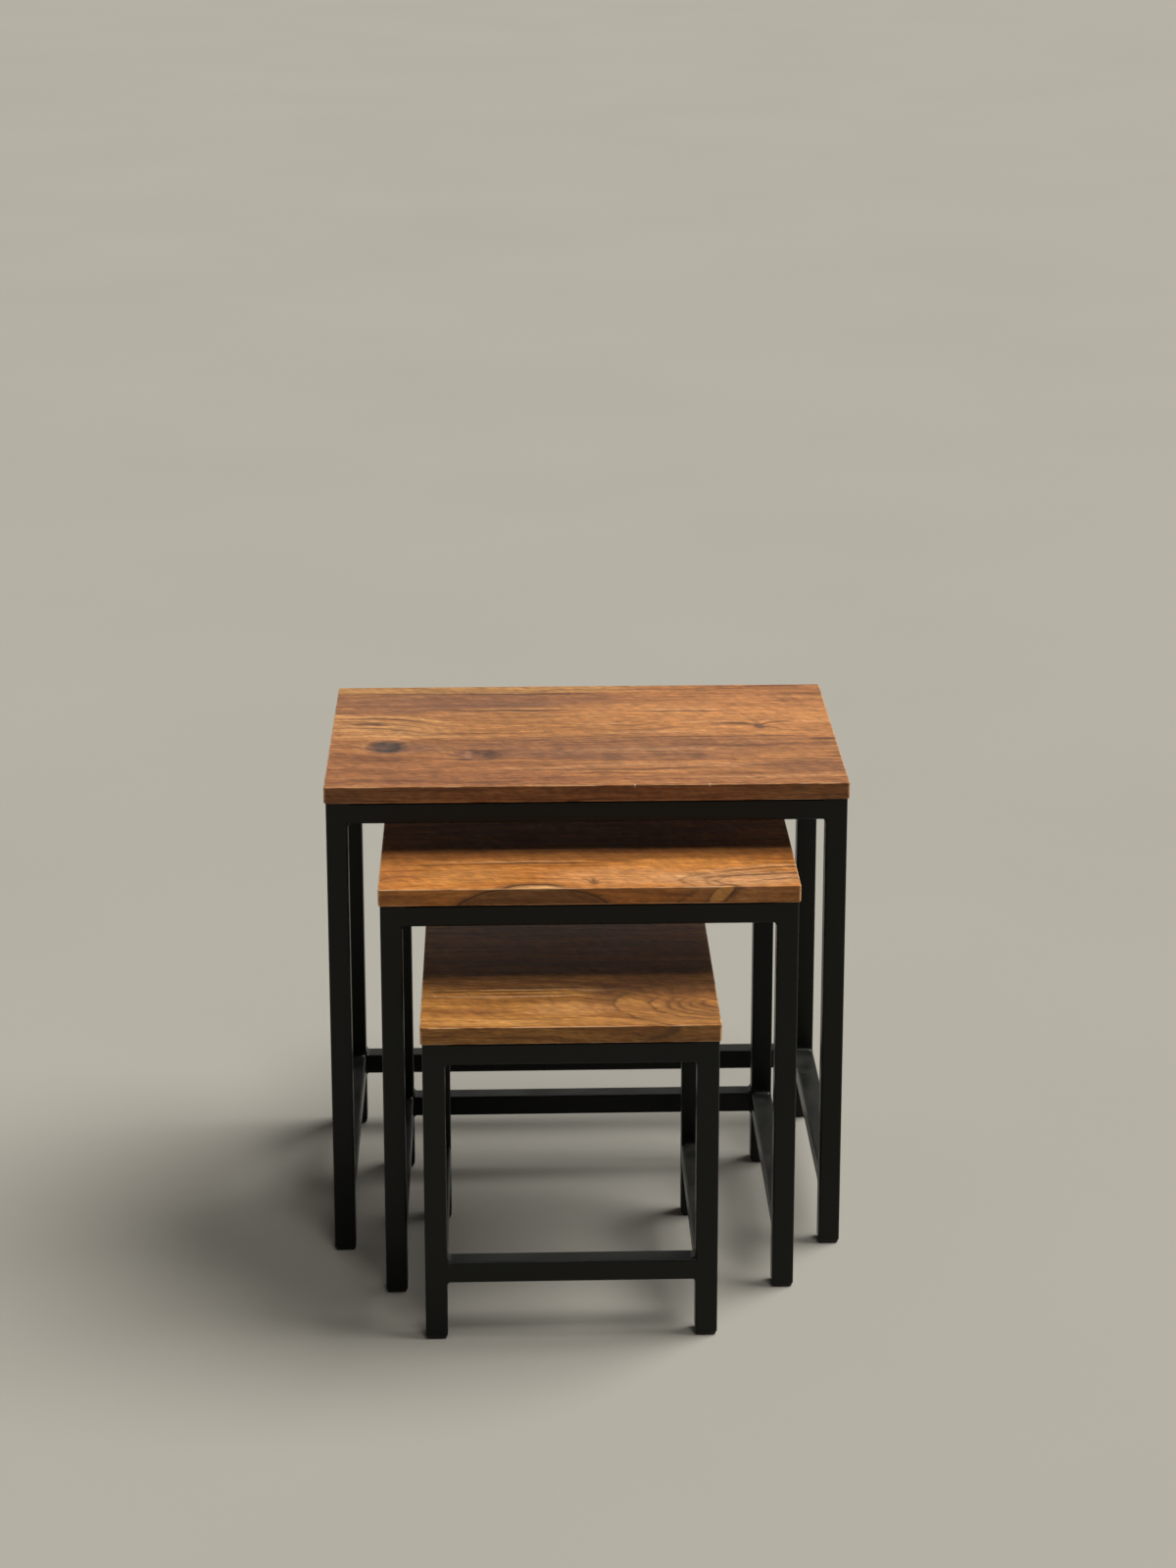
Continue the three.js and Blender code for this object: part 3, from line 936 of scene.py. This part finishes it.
def bead(mesh, start, end, first, second, rng):
    """A smoothed weld in the corner line start-end, a hollow fillet between faces that run off in
    the directions first and second."""
    along = end - start
    rings = []
    lean = rng.uniform(-BEAD_LEAN, BEAD_LEAN)
    for i in range(BEAD_STATIONS + 1):
        t = i / BEAD_STATIONS
        taper = min(1.0, BEAD_END + BEAD_TAPER * min(t, 1 - t))
        wave = BEAD_WAVE * abs(math.sin(math.pi * BEAD_RIPPLES * t))
        size = BEAD_LEG * taper * (1.0 + wave + rng.uniform(-BEAD_JITTER, BEAD_JITTER))
        middle = start + along * t - (first + second) * BEAD_SINK
        ring = [middle]
        for k in range(BEAD_ARC + 1):
            turn = math.pi / 2 * k / BEAD_ARC
            reach_first = size * (1 - math.sin(turn)) * (1 + lean) + BEAD_SINK / 2
            reach_second = size * (1 - math.cos(turn)) * (1 - lean) + BEAD_SINK / 2
            ring.append(middle + first * reach_first + second * reach_second)
        rings.append(ring)
    sweep(mesh, rings)


def strip(mesh, start, end, along, outward, rng):
    """The ground-off weld over a seam from start to end, a hair proud of the flush faces.
    along runs down the rail and outward is the face's normal."""
    rings = []
    for i in range(STRIP_STATIONS + 1):
        t = i / STRIP_STATIONS
        centre = start.lerp(end, t)
        width = STRIP_HALF * rng.uniform(*STRIP_WIDTHS)
        proud = STRIP_PROUD * rng.uniform(*STRIP_HEIGHTS)
        ring = [centre + along * width * a + outward * proud * h for a, h in STRIP_CROWN]
        ring.append(centre + along * width * STRIP_ROOT - outward * STRIP_DEPTH)
        ring.append(centre - along * width * STRIP_ROOT - outward * STRIP_DEPTH)
        rings.append(ring)
    sweep(mesh, rings)


def weld_end(mesh, low, high, axis, toward, under_top, rng):
    """All the welds at one end of a tube with the box low-high. axis is the tube's direction, 0 or
    1, and toward is -1 at its low end and +1 at its high end. A rail under the wood has no fillet
    on its upper side."""
    across = 1 - axis
    along = Vector((0, 0, 0))
    along[axis] = toward
    side = Vector((0, 0, 0))
    side[across] = 1
    up = Vector((0, 0, 1))
    centre = (low + high) / 2
    face = high[axis] if toward > 0 else low[axis]
    seam = Vector(centre)
    seam[axis] = face + toward * SEAM_GAP
    half_side = (high[across] - low[across]) / 2
    half_up = (high.z - low.z) / 2
    half_bead = half_side - BEAD_INSET
    levels = (-1,) if under_top else (-1, 1)
    for level in levels:
        middle = seam + up * half_up * level
        start = middle - side * half_bead
        end = middle + side * half_bead
        bead(mesh, start, end, along * -1, up * level, rng)
    lower = seam - up * (half_up - STRIP_INSET)
    upper = seam + up * (half_up - (STRIP_UNDER_TOP if under_top else STRIP_INSET))
    for sign in (-1, 1):
        offset = side * half_side * sign
        strip(mesh, lower + offset, upper + offset, along, side * sign, rng)


def table_welds(table, material):
    """One mesh with all the welds of a table's frame, which rides on the table."""
    mesh = bmesh.new()
    rng = random.Random(f"{table} welds")
    cross = "front" if table == "small" else "rear"
    tubes = [(f"{table}_rail_{end}", 0, True) for end in ENDS]
    tubes += [(f"{table}_rail_{side}", 1, True) for side in SIDES]
    tubes += [(f"{table}_stretcher_{side}", 1, False) for side in SIDES]
    tubes.append((f"{table}_stretcher_{cross}", 0, False))
    for name, axis, under_top in tubes:
        low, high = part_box(name)
        for toward in (-1, 1):
            weld_end(mesh, low, high, axis, toward, under_top, rng)
    bmesh.ops.recalc_face_normals(mesh, faces=mesh.faces)
    data = bpy.data.meshes.new(f"{table}_welds")
    mesh.to_mesh(data)
    mesh.free()
    piece = bpy.data.objects.new(f"{table}_welds", data)
    bpy.context.scene.collection.objects.link(piece)
    data.materials.append(material)
    data.shade_smooth()
    data.set_sharp_from_angle(angle=math.radians(WELD_SHARP))
    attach(piece, f"{table}_table")


# ---------------------------------------------------------------- set


def add_floor():
    """A plain floor that runs far past the tables on every side."""
    bpy.ops.mesh.primitive_grid_add(x_subdivisions=4, y_subdivisions=4, size=2 * FLOOR_HALF)
    floor = bpy.context.object
    floor.name = "studio_floor"
    dress(floor, floor_paint())


def add_sun(name, direction, strength, spread, colour):
    """A soft far lamp. direction points from the tables to it, and spread is its size, in degrees."""
    light = bpy.data.lights.new(name, "SUN")
    light.energy = strength
    light.angle = math.radians(spread)
    light.color = colour
    lamp = bpy.data.objects.new(name, light)
    lamp.rotation_mode = "QUATERNION"
    lamp.rotation_quaternion = Vector(direction).to_track_quat("Z", "Y")
    bpy.context.scene.collection.objects.link(lamp)


def add_world():
    """A room that is pale behind the tables, dim overhead and on the side of the camera."""
    world = bpy.data.worlds.new("studio")
    bpy.context.scene.world = world
    world.use_nodes = True
    s = Nodes(world.node_tree)
    output = s.tree.nodes.new("ShaderNodeOutputWorld")
    coordinates = s.tree.nodes.new("ShaderNodeTexCoord")
    _, depth, height = s.split(Value(s.tree, coordinates.outputs["Generated"]))
    wall = s.step(depth, *WALL_BACK) * s.step(height, *WALL_UP)
    lit = s.tree.nodes.new("ShaderNodeBackground")
    feed(s.tree, lit.inputs[0], s.mix(wall, ROOM_DIM, ROOM_WALL))
    seen = s.tree.nodes.new("ShaderNodeBackground")
    seen.inputs[0].default_value = (*BACKDROP, 1)
    path = s.tree.nodes.new("ShaderNodeLightPath")
    choose = s.tree.nodes.new("ShaderNodeMixShader")
    s.tree.links.new(path.outputs["Is Camera Ray"], choose.inputs[0])
    s.tree.links.new(lit.outputs[0], choose.inputs[1])
    s.tree.links.new(seen.outputs[0], choose.inputs[2])
    s.tree.links.new(choose.outputs[0], output.inputs[0])


def add_camera():
    """The photographer's camera: turned about Z, tipped down and rolled a little."""
    data = bpy.data.cameras.new("camera")
    data.sensor_width = CAMERA_SENSOR
    data.lens = CAMERA_LENS
    data.shift_x, data.shift_y = CAMERA_SHIFT
    data.clip_end = CAMERA_CLIP
    camera = bpy.data.objects.new("camera", data)
    turn = Matrix.Rotation(math.radians(CAMERA_HEADING), 4, "Z")
    turn @= Matrix.Rotation(math.radians(CAMERA_TILT), 4, "X")
    turn @= Matrix.Rotation(math.radians(CAMERA_ROLL), 4, "Y")
    turn @= Matrix.Rotation(math.radians(90), 4, "X")
    camera.matrix_world = Matrix.Translation(CAMERA_PLACE) @ turn
    bpy.context.scene.collection.objects.link(camera)
    bpy.context.scene.camera = camera


# ---------------------------------------------------------------- build

paint = frame_paint()
plastic = foot_plastic()
steel = screw_steel()
woods = {table: wood(table) for table in TABLES}

for name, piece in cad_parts.items():
    table, part = name.split("_")[:2]
    if part == "top":
        dress(piece, woods[table])
    elif part == "foot":
        dress(piece, plastic)
    elif part == "screw":
        dress(piece, steel)
    else:
        dress(piece, paint)
    soften(piece)

for table in TABLES:
    table_welds(table, paint)

add_floor()
add_world()
add_sun("key_sun", KEY_DIRECTION, KEY_STRENGTH, KEY_SPREAD, KEY_COLOUR)
add_sun("front_lamp", LAMP_DIRECTION, LAMP_STRENGTH, LAMP_SPREAD, LAMP_COLOUR)
add_camera()
bpy.context.scene.view_settings.view_transform = "Standard"
bpy.context.scene.view_settings.look = "None"
